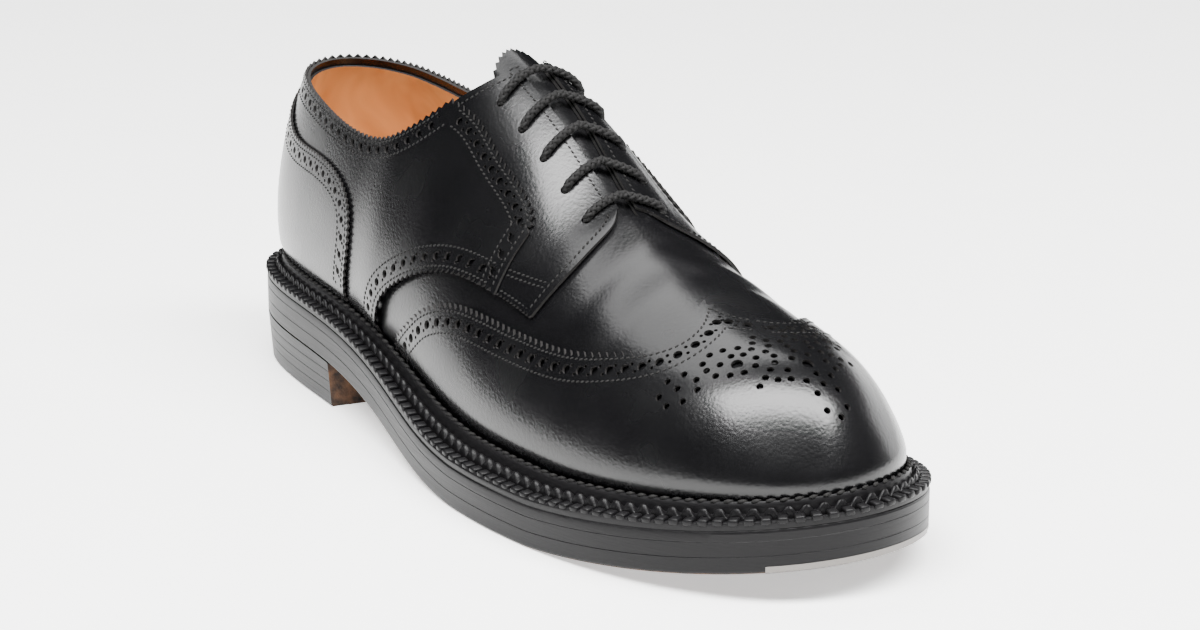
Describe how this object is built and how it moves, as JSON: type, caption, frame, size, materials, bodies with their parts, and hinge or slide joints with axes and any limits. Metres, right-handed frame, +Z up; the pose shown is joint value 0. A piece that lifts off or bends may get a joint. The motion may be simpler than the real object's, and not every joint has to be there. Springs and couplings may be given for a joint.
{
  "type": "derby shoe",
  "caption": "Right leather derby shoe with a wing cap, brogued bands, open lacing, storm welt, stacked heel and thick layered leather sole with a toe plate.",
  "frame": {"origin": "on the floor, at the bottom centre of the shoe's box", "axes": "+X to the toe, +Y to the inside of the foot, +Z up"},
  "size_m": [0.3071, 0.1132, 0.122],
  "materials": {
    "black_calf": "polished",
    "black_welt": "waxed",
    "black_edge": "burnished and waxed",
    "sole_leather": "bare, lightly worn",
    "tan_lining": "smooth",
    "plate_steel": "ground",
    "black_lace": "round braid, waxed"
  },
  "bodies": {
    "root": {"outsole": "sole_leather", "toe_plate": "plate_steel", "midsole_lower": "black_edge", "midsole_upper": "black_edge", "insole": "tan_lining", "heel_top_piece": "black_edge", "heel_lift_1": "black_edge", "heel_lift_2": "black_edge", "heel_lift_3": "black_edge", "welt": "black_welt", "upper": "black_calf", "wing_cap": "black_calf", "quarter_outer": "black_calf", "quarter_inner": "black_calf", "counter": "black_calf", "tongue": "black_calf", "lace_bar_1": "black_lace", "lace_bar_2": "black_lace", "lace_bar_3": "black_lace", "lace_bar_4": "black_lace", "lace_bar_5": "black_lace"}
  },
  "joints": []
}
